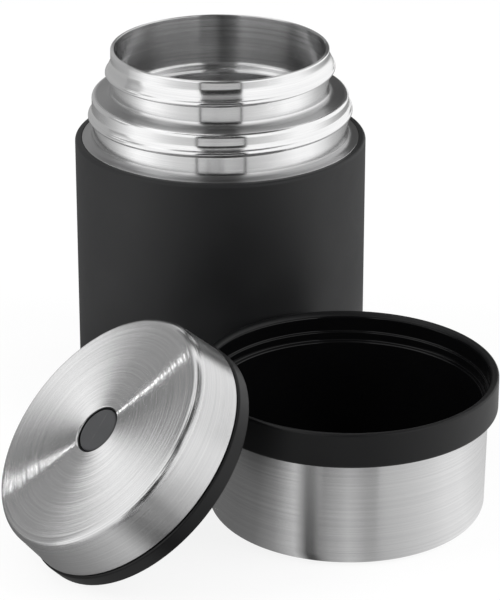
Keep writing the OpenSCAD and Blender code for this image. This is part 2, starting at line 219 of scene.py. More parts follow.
def spread(tree, value, low, high, to_low=0.0, to_high=1.0):
    """A value moved from one range to another, smoothly and kept inside it."""
    made = add(tree, "MapRange", {"Value": value, "From Min": low, "From Max": high,
               "To Min": to_low, "To Max": to_high}, interpolation_type="SMOOTHSTEP")
    return made.outputs["Result"]


def window(tree, value, low, high, soft):
    """One inside a range and none outside it, with soft ends."""
    rise = spread(tree, value, low - soft, low + soft)
    fall = spread(tree, value, high - soft, high + soft, 1.0, 0.0)
    return times(tree, rise, fall)


def lay_over(tree, grey, mask, card):
    """A grey that turns into another one, card, where the mask is full."""
    change = calc(tree, "SUBTRACT", card, grey)
    return plus(tree, grey, times(tree, mask, change))


def noise(tree, at, scale, detail, rough=0.5, distortion=0.0):
    """A Noise Texture's value."""
    return add(tree, "TexNoise", {"Vector": at, "Scale": scale, "Detail": detail,
               "Roughness": rough, "Distortion": distortion}).outputs["Fac"]


def joined(tree, x, y, z):
    """A vector from its three parts."""
    return add(tree, "CombineXYZ", {0: x, 1: y, 2: z}).outputs[0]


def parted(tree, vector):
    """A vector's three parts, called X, Y and Z."""
    return add(tree, "SeparateXYZ", {0: vector}).outputs


def new_group(name, inputs, outputs):
    """An empty shader group. Its inputs are numbers with these values, or a vector where there is
    none, and its outputs are numbers."""
    group = bpy.data.node_groups.new(name, "ShaderNodeTree")
    for label, value in inputs.items():
        kind = "NodeSocketVector" if value is None else "NodeSocketFloat"
        socket = group.interface.new_socket(label, in_out="INPUT", socket_type=kind)
        if value is not None:
            socket.default_value = value
    for label in outputs:
        group.interface.new_socket(label, in_out="OUTPUT", socket_type="NodeSocketFloat")
    return group, group.nodes.new("NodeGroupInput").outputs, group.nodes.new("NodeGroupOutput").inputs


def brushed_lines_group():
    """Fine lines left by brushing round the axis. The noise is read at (length along the outline, a
    circle round the axis), so that it changes quickly across the lines and slowly along them, and
    meets itself after a full turn. Height mixes fine and wide lines, Tone is the same with more
    contrast, and Lean, from finer lines of its own, says which way the side of a line faces."""
    fine_share, wide_rate, lean_rate = 0.7, 0.3, 2.6
    group, taken, given = new_group("brushed_lines", {"Turning": None, "Lines": 5000.0, "Streaks": 3.0},
                                    ["Height", "Tone", "Lean"])
    parts = parted(group, taken["Turning"])
    angle = times(group, parts["Y"], 2 * math.pi)
    circle_x = times(group, calc(group, "COSINE", angle), taken["Streaks"])
    circle_y = times(group, calc(group, "SINE", angle), taken["Streaks"])
    across = times(group, parts["X"], taken["Lines"])

    fine = noise(group, joined(group, across, circle_x, circle_y), 1.0, 4.0, 0.7)
    wide_across = times(group, across, wide_rate)
    wide = noise(group, joined(group, wide_across, circle_y, circle_x), 1.0, 3.0, 0.6)
    both = plus(group, times(group, fine, fine_share), times(group, wide, 1 - fine_share))
    tone = spread(group, both, 0.32, 0.68)

    lean_across = times(group, across, lean_rate)
    sides = noise(group, joined(group, lean_across, circle_x, circle_y), 1.0, 2.0, 0.6)
    lean = times(group, calc(group, "SUBTRACT", sides, 0.5), 2.0)
    feed(group, given, {"Height": both, "Tone": tone, "Lean": lean})
    return group


def fine_grain_group():
    """Grain of a moulded or powder coated surface: small bumps and pits, with a slow change of
    tone."""
    bump_share, pit_rate, tone_rate = 0.6, 0.45, 38.0
    group, taken, given = new_group("fine_grain", {"Vector": None, "Bumps": 2500.0},
                                    ["Height", "Tone"])
    small = noise(group, taken["Vector"], taken["Bumps"], 2.0, 0.55)
    pits = add(group, "TexVoronoi", {"Vector": taken["Vector"],
               "Scale": times(group, taken["Bumps"], pit_rate)}).outputs["Distance"]
    height = plus(group, times(group, small, bump_share), times(group, pits, 1 - bump_share))
    slow = noise(group, taken["Vector"], tone_rate, 5.0, 0.6)
    feed(group, given, {"Height": height, "Tone": spread(group, slow, 0.3, 0.7)})
    return group


def handling_group():
    """Faint marks of handling: smears and a few wiped patches, as a mask from none to full."""
    patch_rate = 0.3
    group, taken, given = new_group("handling", {"Vector": None, "Size": 30.0}, ["Smear"])
    base = noise(group, taken["Vector"], taken["Size"], 6.0, 0.55, distortion=1.1)
    gate = noise(group, taken["Vector"], times(group, taken["Size"], patch_rate), 1.0)
    smear = times(group, spread(group, base, 0.45, 0.75), spread(group, gate, 0.4, 0.65))
    feed(group, given, {"Smear": smear})
    return group


def worn_edge_group():
    """Edges rubbed by use: the mesh's own sharpness, broken up by noise."""
    flat_sharpness, patch_rate = 0.505, 420.0
    group, taken, given = new_group("worn_edge", {"Vector": None, "Reach": 0.04}, ["Mask"])
    sharp = add(group, "NewGeometry").outputs["Pointiness"]
    patches = noise(group, taken["Vector"], patch_rate, 4.0, 0.65)
    edge = calc(group, "DIVIDE", calc(group, "SUBTRACT", sharp, flat_sharpness), taken["Reach"])
    edge = add(group, "Clamp", {"Value": edge}).outputs[0]
    mask = times(group, edge, spread(group, patches, 0.38, 0.66))
    feed(group, given, {"Mask": mask})
    return group


BRUSHED_LINES = brushed_lines_group()
FINE_GRAIN = fine_grain_group()
HANDLING = handling_group()
WORN_EDGE = worn_edge_group()

# Materials


def use(tree, group, feeds):
    """A group placed in a material with its own values."""
    return add(tree, "Group", feeds, node_tree=group).outputs


def blend(tree, mask, first, second):
    """A colour between two others, by a mask."""
    first, second = (colour if isinstance(colour, bpy.types.NodeSocket) else (*colour, 1.0)
                     for colour in (first, second))
    return add(tree, "Mix", {0: mask, 6: first, 7: second}, data_type="RGBA").outputs[2]


def surface_place(tree):
    """A point's place on the object, in metres."""
    return add(tree, "TexCoord").outputs["Object"]


def bump(tree, height, depth, strength=1.0):
    """The normal of a surface with this height on it."""
    return add(tree, "Bump",
               {"Height": height, "Strength": strength, "Distance": depth}).outputs[0]


def new_material(name, kind="BsdfPrincipled"):
    """A material with one shader: the material, its tree and the shader's node."""
    material = bpy.data.materials.new(name)
    material.use_nodes = True
    tree = material.node_tree
    tree.nodes.clear()
    shader = add(tree, kind)
    add(tree, "OutputMaterial", {"Surface": shader.outputs[0]})
    return material, tree, shader


def brushed_steel(name, light, dark, rough, lines, streaks, depth, stretch, smear, lean=0.0,
                  side_from=None, shaded_stretches=()):
    """Steel brushed round the axis: its colour and roughness change with the lines and with
    handling, and its highlight is stretched across them. With lean, the sides of the lines tip the
    surface to and fro by up to that slope. Past the length side_from along the outline the metal is
    drawn, less finely turned. In each listed stretch it is rougher and darkened by painted shade."""
    rougher, smoother, smear_size = 1.08, 0.92, 26.0
    shade_share, stretch_rough, stretch_edge = 0.5, 0.14, 0.0007
    drawn_rough, drawn_edge = 0.16, 0.003
    material, tree, shader = new_material(name)
    turning = add(tree, "UVMap", uv_map="turning").outputs[0]
    brushed = use(tree, BRUSHED_LINES, {"Turning": turning, "Lines": lines, "Streaks": streaks})
    marks = use(tree, HANDLING, {"Vector": surface_place(tree), "Size": smear_size})
    colour = blend(tree, brushed["Tone"], dark, light)
    roughness = spread(tree, brushed["Tone"], 0.0, 1.0, rough * rougher, rough * smoother)
    roughness = plus(tree, roughness, times(tree, marks["Smear"], smear))
    length = parted(tree, turning)["X"]
    # Painted shade: in each listed stretch the colour falls to half the dark steel, standing in for the
    # shade at the neck's feet and ledges; the roughness rises there too.
    pressed = tuple(shade_share * part for part in dark)
    for low, high in shaded_stretches:
        inside = window(tree, length, low, high, stretch_edge)
        colour = blend(tree, inside, colour, pressed)
        roughness = plus(tree, roughness, times(tree, inside, stretch_rough))
    if side_from:
        drawn = spread(tree, length, side_from, side_from + drawn_edge, 0.0, drawn_rough)
        roughness = plus(tree, roughness, drawn)
    tangent = add(tree, "Tangent", direction_type="UV_MAP", uv_map="turning").outputs[0]
    normal = bump(tree, brushed["Height"], depth)
    if lean:
        slope = times(tree, brushed["Lean"], lean)
        tipped = add(tree, "VectorMath", {0: tangent, 1: slope, 2: normal},
                     operation="MULTIPLY_ADD").outputs[0]
        normal = add(tree, "VectorMath", {0: tipped}, operation="NORMALIZE").outputs[0]
    feed(tree, shader.inputs, {"Base Color": colour, "Roughness": roughness, "Normal": normal,
                               "Tangent": tangent, "Metallic": 1.0, "Anisotropic": stretch})
    return material


def moulded(name, colour, worn, rough, bumps, depth, wear, gloss):
    """Moulded or coated surface: fine grain, slow change of tone, and rubbed edges."""
    darkest, rougher, smoother = 0.82, 1.06, 0.94
    smear_size, smear, edge_reach = 34.0, 0.1, 0.05
    material, tree, shader = new_material(name)
    at = surface_place(tree)
    grain = use(tree, FINE_GRAIN, {"Vector": at, "Bumps": bumps})
    marks = use(tree, HANDLING, {"Vector": at, "Size": smear_size})
    edges = use(tree, WORN_EDGE, {"Vector": at, "Reach": edge_reach})
    darker = tuple(darkest * part for part in colour)
    base = blend(tree, grain["Tone"], darker, colour)
    base = blend(tree, times(tree, edges["Mask"], wear), base, worn)
    roughness = spread(tree, grain["Tone"], 0.0, 1.0, rough * smoother, rough * rougher)
    roughness = calc(tree, "SUBTRACT", roughness, times(tree, marks["Smear"], smear))
    normal = bump(tree, grain["Height"], depth)
    feed(tree, shader.inputs, {"Base Color": base, "Roughness": roughness, "Normal": normal,
                               "Specular IOR Level": gloss})
    return material


def plain_metal(name, light, dark, rough):
    """Metal without a turning map: drawn or pressed, with a fine random grain."""
    rougher, smoother, bumps = 1.1, 0.9, 1800.0
    material, tree, shader = new_material(name)
    grain = use(tree, FINE_GRAIN, {"Vector": surface_place(tree), "Bumps": bumps})
    roughness = spread(tree, grain["Tone"], 0.0, 1.0, rough * smoother, rough * rougher)
    colour = blend(tree, grain["Tone"], dark, light)
    normal = bump(tree, grain["Height"], 0.00002, strength=0.6)
    feed(tree, shader.inputs, {"Base Color": colour, "Roughness": roughness, "Normal": normal,
                               "Metallic": 1.0})
    return material


# Brushed steels: light, dark, roughness, lines, streaks, the lines' depth, stretch and smear
BRUSHED = {
    "neck_steel": ((0.93, 0.93, 0.93), (0.84, 0.84, 0.845), 0.17, 2400.0, 0.4, 0.000001, 0.9, 0.04),
    "vessel_steel": ((0.93, 0.93, 0.93), (0.58, 0.58, 0.585), 0.22, 2600.0, 0.4, 0.000004, 1.0, 0.05),
    "cup_steel": ((0.79, 0.79, 0.79), (0.68, 0.68, 0.685), 0.18, 5200.0, 0.5, 0.000001, 1.0, 0.03),
    "lid_steel": ((0.8, 0.8, 0.8), (0.67, 0.67, 0.675), 0.125, 6000.0, 0.5, 0.0000002, 1.0, 0.01),
}
BRUSHED_EXTRAS = {
    # The neck's stretches of painted shade, as lengths along its outline in metres: the flat and foot
    # under the lower wall, and the ledge and foot under the upper wall.
    "neck_steel": {"shaded_stretches": [(-0.001, 0.0044), (0.0192, 0.0252)]},
    "lid_steel": {"lean": 0.6, "side_from": 0.0335},
}
# Moulded and coated: colour, worn colour, roughness, bumps, their depth, wear and gloss
MOULDED = {
    "black_coat": ((0.0095, 0.0098, 0.0105), (0.05, 0.05, 0.052), 0.52, 2300.0, 0.000025, 0.1, 0.45),
    "matte_black": ((0.0045, 0.0046, 0.005), (0.05, 0.05, 0.05), 0.42, 2600.0, 0.000015, 0.15, 0.32),
    "gloss_black": ((0.0035, 0.0035, 0.0038), (0.02, 0.02, 0.02), 0.16, 900.0, 0.000003, 0.1, 0.35),
    "button_grey": ((0.050, 0.051, 0.054), (0.16, 0.16, 0.16), 0.48, 2400.0, 0.000014, 0.3, 0.5),
    "silicone": ((0.075, 0.078, 0.084), (0.12, 0.12, 0.12), 0.62, 1500.0, 0.00001, 0.1, 0.4),
    "soft_pad": ((0.022, 0.022, 0.024), (0.06, 0.06, 0.06), 0.75, 1900.0, 0.00004, 0.15, 0.3),
    "foam": ((0.68, 0.66, 0.56), (0.8, 0.78, 0.7), 0.9, 1300.0, 0.0001, 0.0, 0.2),
    "solder_glass": ((0.15, 0.21, 0.25), (0.3, 0.36, 0.4), 0.2, 700.0, 0.00002, 0.1, 0.5),
    "getter_metal": ((0.17, 0.155, 0.14), (0.3, 0.28, 0.26), 0.8, 2600.0, 0.00006, 0.25, 0.5),
}
# Plain metals: light, dark and roughness
PLAIN = {
    "copper_foil": ((0.72, 0.37, 0.21), (0.55, 0.26, 0.14), 0.34),
    "spring_steel": ((0.66, 0.66, 0.67), (0.5, 0.5, 0.5), 0.25),
}
LOOKS = {name: brushed_steel(name, *look, **BRUSHED_EXTRAS.get(name, {}))
         for name, look in BRUSHED.items()}
LOOKS |= {name: moulded(name, *look) for name, look in MOULDED.items()}
LOOKS |= {name: plain_metal(name, *look) for name, look in PLAIN.items()}

# Jar: sizes in millimetres, from the frame where it gives them


def corner_sizes(node):
    """A node's lowest and highest corners in millimetres."""
    low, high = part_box(node)
    return np.array(low) / MM, np.array(high) / MM


shell_low, shell_high = corner_sizes("outer_shell")
body_r = (shell_high[0] - shell_low[0]) / 2
body_h = shell_high[2]
lip_z = corner_sizes("threaded_neck")[1][2]
fit = 0.15
off_table = 0.02
base_edge_r = 3.0
base_r = body_r - base_edge_r
shell_wall = 0.8
coat_r = 48.7
low_step_r, top_step_r = 44.9, 38.1
ledge_z = body_h + 15.7
shoulder_r, low_foot_r = 1.22, 1.89
ledge_corner_r, top_foot_r = 1.36, 2.11
neck_wall = 0.6
bead_under = 1.4
bead_roll_r = 1.3
flare_share = 0.8
# Each thread's middle height, how far it stands out, and the width of its upper side
low_thread = (body_h + 8.95, 1.4, 2.8)
top_thread = (ledge_z + 8.745, 2.0, 5.0)
thread_lead = 4.0
thread_start, thread_end = 0.2, 1.1


def body_shell():
    """The coated body, one thin ring: rounded base edge, straight wall, and a small rounded shoulder
    with the coat's soft edge on its flat."""
    turn_r, turn_z = body_r - shoulder_r, body_h - shoulder_r
    coat_edge, seam = 0.12, 0.1
    side = outline(
        [[base_r - seam, off_table]],
        arc(base_r, base_edge_r, base_edge_r, -90, 0),
        arc(turn_r, turn_z, shoulder_r, 0, 90, 12),
        arc(coat_r + coat_edge, body_h - coat_edge, coat_edge, 90, 180, 4),
        [[coat_r, body_h - shell_wall]],
        arc(turn_r, turn_z, shoulder_r - shell_wall, 90, 0, 8),
        arc(base_r, base_edge_r, base_edge_r - shell_wall, 0, -90),
        [[base_r - seam, off_table]])
    piece = turned("body_coat", side, "jar", "black_coat", around=320)
    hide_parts("outer_shell")


def thread_out(height, turn, middle, out, flare):
    """How far a rolled thread stands out: a half wave over its underside, and above its crest the
    higher of a round roll and a slow half wave, which meet in a fine crease. The crest climbs with
    the turn by the thread's lead, passes the middle height at the front, and fades in and out where
    its two ends pass each other at the back."""
    front_share, under_power, fade_share = 0.75, 1.3, 0.05
    total = np.zeros_like(height)
    for lap in (0, 1):
        share = (turn / (2 * math.pi) - thread_start) % 1.0 + lap
        crest = middle + thread_lead * (share - (front_share - thread_start))
        below = np.clip((crest - height) / bead_under, 0, 1) ** under_power
        above = np.clip((height - crest) / flare, 0, 1)
        slow = flare_share * (1 + np.cos(math.pi * above)) / 2
        reach = np.clip(height - crest, 0, bead_roll_r)
        roll = 1 - (bead_roll_r - np.sqrt(bead_roll_r ** 2 - reach ** 2)) / out
        roll = np.where(reach < bead_roll_r, roll, 0)
        wave = np.where(height < crest, (1 + np.cos(math.pi * below)) / 2, np.maximum(slow, roll))
        fade_in = np.clip(share / fade_share, 0, 1)
        fade = fade_in * np.clip((thread_end - share) / fade_share, 0, 1)
        total = np.maximum(total, out * wave * fade * fade * (3 - 2 * fade))
    return total


def neck_outline(low_wall, top_wall):
    """The neck's outer side, with its two walls' heights given: flat, foot, wall and ledge corner,
    then foot, wall and lip."""
    tuck, flat_w, run = 0.15, 0.25, 0.2
    flat_z = body_h - 0.08
    return np.vstack([
        [[coat_r - tuck, flat_z], [coat_r - tuck - flat_w, flat_z],
         [low_step_r + low_foot_r + run, flat_z]],
        arc(low_step_r + low_foot_r, flat_z + low_foot_r, low_foot_r, 270, 180, 12),
        np.column_stack([np.full_like(low_wall, low_step_r), low_wall])[1:],
        arc(low_step_r - ledge_corner_r, ledge_z - ledge_corner_r, ledge_corner_r, 0, 90, 12)[1:],
        [[low_step_r - ledge_corner_r - run, ledge_z], [top_step_r + top_foot_r + run, ledge_z]],
        arc(top_step_r + top_foot_r, ledge_z + top_foot_r, top_foot_r, 270, 180, 12),
        np.column_stack([np.full_like(top_wall, top_step_r), top_wall])[1:],
        arc(top_step_r - neck_wall, lip_z - neck_wall, neck_wall, 0, 90, 6)[1:]])


def neck():
    """The two-step neck: its outer side, with a thread rolled into each wall, and the inner side a
    wall's thickness behind, with fewer points."""
    low_rows, top_rows, inner_step = 84, 100, 6
    low_wall = np.linspace(body_h + low_foot_r, ledge_z - ledge_corner_r, low_rows)
    top_wall = np.linspace(ledge_z + top_foot_r, lip_z - neck_wall, top_rows)
    outer = neck_outline(low_wall, top_wall)
    back = outer[::-1]
    kept = np.unique(np.append(np.arange(0, len(back), inner_step), len(back) - 1))
    inner = back[kept] - neck_wall
    inner[:, 1] = np.minimum(inner[:, 1], lip_z - neck_wall)
    inner[-1, 0] = outer[0, 0]

    def thread(radius, height, turn):
        out = np.zeros_like(height)
        for wall, sizes in ((low_wall, low_thread), (top_wall, top_thread)):
            on_wall = (height >= wall[0]) & (height <= wall[-1])
            out += np.where(on_wall, thread_out(height, turn, *sizes), 0)
        out[len(outer):] = 0
        return radius + out, height

    piece = turned("neck_sheet", np.vstack([outer, inner]), "jar", "neck_steel", around=360, shape=thread)
    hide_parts("threaded_neck")


bore_r, throat_r, vessel_r = 36.85, 33.5, 45.2
seat_z = lip_z - 17.4
seat_foot_r = 0.47 * (bore_r - throat_r)
seat_nose_r = (bore_r - throat_r) - seat_foot_r
seat_nose_z = seat_z - seat_foot_r - seat_nose_r
floor_z, floor_corner_r = 9.0, 10.0
flare_angle = 36.0
flare_turn_r = 0.18 * vessel_r


def vessel_side(out):
    """The vessel's side from its seal seat down to the middle of its floor, moved outwards by
    out."""
    slope = math.radians(flare_angle)
    top_r = throat_r + seat_nose_r * (1 - math.cos(slope))
    top_z = seat_nose_z - seat_nose_r * math.sin(slope)
    low_r = vessel_r - flare_turn_r * (1 - math.cos(slope))
    turn_z = top_z - (low_r - top_r) / math.tan(slope) - flare_turn_r * math.sin(slope)
    return np.vstack([
        arc(bore_r - seat_foot_r, seat_z, seat_foot_r + out, 0, -90, 12),
        arc(throat_r + seat_nose_r, seat_nose_z, seat_nose_r - out, 90, 180 + flare_angle, 18),
        arc(vessel_r - flare_turn_r, turn_z, flare_turn_r + out, flare_angle, 0, 14),
        arc(vessel_r - floor_corner_r, floor_z + floor_corner_r, floor_corner_r + out, 0, -90, 18),
        [[0, floor_z - out]]])


def vessel():
    """The steel vessel: lip, straight bore, rounded seal seat, throat, flare, wall and floor."""
    liner_wall, below_neck = 0.5, 0.01
    lip_r = liner_wall / 2
    lip = arc(bore_r + lip_r, lip_z - lip_r - below_neck, lip_r, 0, 180, 8)
    side = outline(vessel_side(liner_wall)[::-1], lip, vessel_side(0))
    side[0, 0] = side[-1, 0] = 0.0
    piece = turned("vessel_sheet", side, "jar", "vessel_steel", around=320, closed=False)
    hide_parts("inner_vessel")


stand_w = 4.0
stand_r = base_r - stand_w


def base_sheet():
    """The pressed base sheet: the ring that the jar stands on, and a recess with a hole."""
    sheet, recess, hole_r, seam = 0.8, 2.0, 8.0, 0.2
    side = outline(
        [[base_r - seam, off_table], [base_r - seam, sheet], [stand_r + sheet / 2, sheet],
         [stand_r, recess + sheet], [hole_r, recess + sheet], [hole_r, recess],
         [stand_r - sheet, recess], [stand_r - sheet, sheet], [stand_r - sheet / 2, off_table],
         [base_r - seam, off_table]])
    piece = turned("base_sheet", side, "jar", "vessel_steel", around=192)
    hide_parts("base_plate")


def foot_pad():
    """The soft pad in the base's recess, with three shallow rings pressed into its underside."""
    pad_r, pad_h, low_edge, top_edge = stand_r - 1.1, 1.85, 0.5, 0.2
    rings, ring_w, ring_depth = (12, 22, 32), 0.8, 0.35
    grooves = [part for ring in rings for part in
               ([ring - ring_w, 0.0], [ring - ring_w / 2, ring_depth],
                [ring + ring_w / 2, ring_depth], [ring + ring_w, 0.0])]
    side = outline([[0, 0]], grooves, arc(pad_r - low_edge, low_edge, low_edge, -90, 0, 5),
                   arc(pad_r - top_edge, pad_h - top_edge, top_edge, 0, 90, 4), [[0, pad_h]])
    piece = turned("pad_disc", side, "jar", "soft_pad", around=160, closed=False)
    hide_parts("base_pad")


# Cup

collar_low, collar_high = corner_sizes("cup_collar")
cup_x, cup_y = (collar_low[:2] + collar_high[:2]) / 2
cup_at = Matrix.Translation(Vector((cup_x, cup_y, 0)) * MM)
collar_r = (collar_high[0] - collar_low[0]) / 2
cup_h = collar_high[2]
collar_z = collar_low[2]
cup_top_r, cup_low_r, cup_wall = 46.4, 45.9, 0.7
mouth_r, mouth_edge_r = 46.7, 2.0
sleeve_out, sleeve_z = 47.9, 38.8


def cup_sheet():
    """The drawn steel cup, which reaches up a little inside the collar."""
    edge, hem_z = 4.0, collar_z + 1.9
    side = outline(
        [[0, 0]],
        arc(cup_low_r - edge, edge, edge, -90, 0, 16),
        [[cup_top_r, collar_z], [cup_top_r, hem_z], [cup_top_r - cup_wall, hem_z],
         [cup_top_r - cup_wall, collar_z]],
        arc(cup_low_r - edge, edge, edge - cup_wall, 0, -90, 12),
        [[0, cup_wall]])
    piece = turned("cup_sheet", side, "cup", "cup_steel", cup_at, around=320, closed=False)
    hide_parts("cup_shell")


def bowl():
    """The glossy bowl: floor, wall, and a sleeve with two ledges up to the collar's mouth."""
    top_r, low_r, wall, outer_corner = 44.25, 43.75, 1.3, 3.15
    floor_top, corner = 2.15, 2.5
    sleeve_r, high_ledge_z, low_ledge_z = 45.8, 42.0, 39.0
    edge, low_edge = 0.3, 0.4
    floor_low = cup_wall + fit
    side = outline(
        [[0, floor_low]],
        arc(low_r + wall - outer_corner, floor_low + outer_corner, outer_corner, -90, 0, 10),
        [[top_r + wall, sleeve_z], [sleeve_out, sleeve_z], [sleeve_out, cup_h - 1.235]],
        arc(mouth_r + mouth_edge_r, cup_h - mouth_edge_r, mouth_edge_r, 157.5, 180, 6),
        arc(mouth_r - edge, high_ledge_z + edge, edge, 0, -90, 3),
        arc(sleeve_r + edge, high_ledge_z - edge, edge, 90, 180, 5),
        arc(sleeve_r - edge, low_ledge_z + edge, edge, 0, -90, 3),
        arc(top_r + low_edge, low_ledge_z - low_edge, low_edge, 90, 180, 5),
        arc(low_r - corner, floor_top + corner, corner, 0, -90, 10),
        [[0, floor_top]])
    piece = turned("bowl", side, "cup", "gloss_black", cup_at, around=320, closed=False)
    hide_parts("cup_liner")


def collar():
    """The collar: an upright band that is rounded over into the mouth and grips the bowl's
    sleeve."""
    edge, groove_top = 0.81, cup_h - 1.22
    low_r, groove_r, groove_z = cup_top_r + fit, sleeve_out + fit, sleeve_z - fit
    side = outline(
        [[low_r, collar_z]],
        arc(collar_r - edge, collar_z + edge, edge, -90, 0, 6),
        arc(collar_r - edge, cup_h - edge, edge, 0, 90, 8),
        arc(mouth_r + mouth_edge_r, cup_h - mouth_edge_r, mouth_edge_r, 90, 157, 10),
        [[groove_r, groove_top], [groove_r, groove_z], [low_r, groove_z], [low_r, collar_z]])
    piece = turned("collar", side, "cup", "matte_black", cup_at, around=320)
    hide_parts("cup_collar")


# Lid, in its own frame: rim at zero and steel top at lid_h

lid_h = 22.6
disc_low, disc_top = -2.37, -0.87
disc_middle = -1.6245


def lid_place():
    """The lid's frame: its axis is the button's, and its rim lies a known way above the disc."""
    press = next(joint for joint in frame["joints"] if joint["name"] == "button_press")
    up = -Vector(press["axis"]).normalized()
    low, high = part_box("valve_disc")
    disc = (Vector(low) + Vector(high)) / 2
    across = Vector((0, 0, 1)).cross(up).normalized()
    down = across.cross(up)
    turned_to = Matrix((down, across, up)).transposed().to_4x4()
    return Matrix.Translation(disc - up * disc_middle * MM) @ turned_to


lid_at = lid_place()
cap_top_r, cap_edge_r = 42.1, 3.3
rim_h, deck_top, slot_top = 5.4, 21.75, 18.45
nose_r, nose_wall, nose_low = 33.0, 1.6, -4.57
stem_bore_r = 1.67
button_low, button_roof = 14.6, 20.28


def cap():
    """The steel cap, from the hole round the button over the top and down the side."""
    low_r, low_z, hem, wall = 43.3, 5.9, 0.15, 0.7
    hole_r, hole_edge = 8.2, 0.6
    side = outline(
        arc(hole_r + hole_edge, lid_h - hole_edge, hole_edge, 180, 90, 7),
        arc(cap_top_r - cap_edge_r, lid_h - cap_edge_r, cap_edge_r, 90, 0, 18),
        arc(low_r - hem, low_z + hem, hem, 0, -90, 3),
        [[low_r - wall, low_z]],
        arc(cap_top_r - cap_edge_r, lid_h - cap_edge_r, cap_edge_r - wall, 0, 90, 12),
        [[hole_r, lid_h - wall], [hole_r, lid_h - hole_edge]])
    piece = turned("cap_sheet", side, "lid", "lid_steel", lid_at, around=384)
    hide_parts("lid_cap")


def rim_and_skirt():
    """The black moulding in the cap: rim, core, deck, the plug's wall, and the skirt with the ridge
    that the neck's thread catches."""
    rim_r, rim_edge, core_low_r, core_top_r, deck_r = 43.9, 0.81, 42.45, 41.25, 38.65
    guide_hole_r, plug_in_r, plug_r, plug_low = 9.7, 34.05, 36.25, -0.65
    skirt_r, ridge_r, ridge_z, ridge_h, edge = 40.6, 39.35, 5.445, 1.4, 0.4
    side = outline(
        arc(rim_r - rim_edge, rim_edge, rim_edge, -90, 0, 7),
        arc(rim_r - rim_edge, rim_h - rim_edge, rim_edge, 0, 90, 7),
        [[core_low_r, rim_h], [core_top_r, lid_h - cap_edge_r], [deck_r, deck_top],
         [guide_hole_r, deck_top], [guide_hole_r, slot_top + fit], [plug_in_r, slot_top + fit],
         [plug_in_r, plug_low]],
        arc(plug_r - edge, plug_low + edge, edge, -90, 0, 4),
        [[plug_r, slot_top], [skirt_r, slot_top], [skirt_r, ridge_z + ridge_h]],
        arc(ridge_r + edge, ridge_z, edge, 90, 270, 6),
        [[skirt_r, ridge_z - ridge_h]],
        arc(skirt_r + edge, edge, edge, 180, 270, 4),
        [[rim_r - rim_edge, 0]])
    piece = turned("rim_and_skirt", side, "lid", "matte_black", lid_at, around=320)
    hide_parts("lid_body")


def nose():
    """The plug's nose: a dish that closes the plug, with the valve's well in its middle."""
    corner, flange_r, flange_low = 1.2, 33.9, -0.5
    well_r, well_top, well_edge, stem_hole_r = 10.0, -0.77, 0.3, 2.2
    inner_r, inner_low, well_roof = nose_r - nose_wall, nose_low + nose_wall, well_top + nose_wall
    side = outline(
        arc(well_r + well_edge, nose_low + well_edge, well_edge, 180, 270, 4),
        arc(nose_r - corner, nose_low + corner, corner, -90, 0, 8),
        [[nose_r, flange_low], [flange_r, flange_low], [flange_r, flange_low + nose_wall],
         [inner_r, flange_low + nose_wall], [inner_r, inner_low], [well_r + nose_wall, inner_low],
         [well_r + nose_wall, well_roof], [stem_hole_r, well_roof], [stem_hole_r, well_top],
         [well_r, well_top], [well_r, nose_low + well_edge]])
    piece = turned("nose_dish", side, "lid", "matte_black", lid_at, around=256)
    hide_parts("plug_nose")


def seal():
    """The gasket round the nose, a band with a round outer side."""
    low, top, start_r, round_r = -2.82, -0.8, 35.0, 35.54
    side = outline(
        [[nose_r + fit, low], [start_r, low]],
        arc(round_r, (low + top) / 2, (top - low) / 2, -90, 90, 12),
        [[nose_r + fit, top], [nose_r + fit, low]])
    piece = turned("seal_ring", side, "lid", "silicone", lid_at, around=256)
    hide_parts("lid_gasket")


# Button and valve, in the lid's frame


def button_cap():
    """The vent button: a hollow cap with a boss in its middle, bored for the stem."""
    top, button_r, edge, wall, boss_r = lid_h - 0.5, 7.6, 0.65, 1.3, 2.9
    side = outline(
        [[0, top]],
        arc(button_r - edge, top - edge, edge, 90, 0, 8),
        [[button_r, button_low], [button_r - wall, button_low], [button_r - wall, button_roof],
         [boss_r, button_roof], [boss_r, button_low], [stem_bore_r, button_low],
         [stem_bore_r, button_roof], [0, button_roof]])
    piece = turned("button_cap", side, "button", "button_grey", lid_at, around=160, closed=False)
    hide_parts("vent_button")


def soft_disc():
    """The valve's soft disc, rounded below and chamfered above."""
    disc_r, edge, chamfer = 6.0, 0.6, 0.3
    side = outline(
        [[stem_bore_r, disc_low]],
        arc(disc_r - edge, disc_low + edge, edge, -90, 0, 6),
        [[disc_r, disc_top - chamfer], [disc_r - edge, disc_top], [stem_bore_r, disc_top],
         [stem_bore_r, disc_low]])
    piece = turned("soft_disc", side, "button", "silicone", lid_at, around=128)
    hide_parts("valve_disc")


def clip_ring():
    """The clip under the disc: a round wire whose inner side is drawn in to the stem."""
    middle_r, middle_z, wire_r, inner_r, drawn_in = 2.75, -2.77, 0.32, 2.5, 0.7
    side = outline(arc(middle_r, middle_z, wire_r, -180, 180, 14))
    side[:, 0] = np.where(side[:, 0] < inner_r, side[:, 0] - drawn_in, side[:, 0])
    piece = turned("clip_ring", side, "button", "spring_steel", lid_at, around=96)
    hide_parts("stem_clip")


spring_low, spring_top, spring_r = 2.7255, 20.13, 4.6
wire_r = 0.4
spring_turns = 8.0


def tube_faces(steps, sides):
    """The faces of a tube of so many rings and sides, closed at both ends, without a map."""
    ring, side = np.meshgrid(np.arange(steps - 1), np.arange(sides), indexing="ij")
    i = ring.reshape(-1, 1) + [0, 1, 1, 0]
    j = side.reshape(-1, 1) + [0, 0, 1, 1]
    quads = i * sides + j % sides
    start = np.arange(sides)
    end = (steps - 1) * sides + start[::-1]
    sizes = np.append(np.full(ring.size, 4), [sides, sides])
    return np.concatenate([quads.ravel(), start, end]), sizes, None


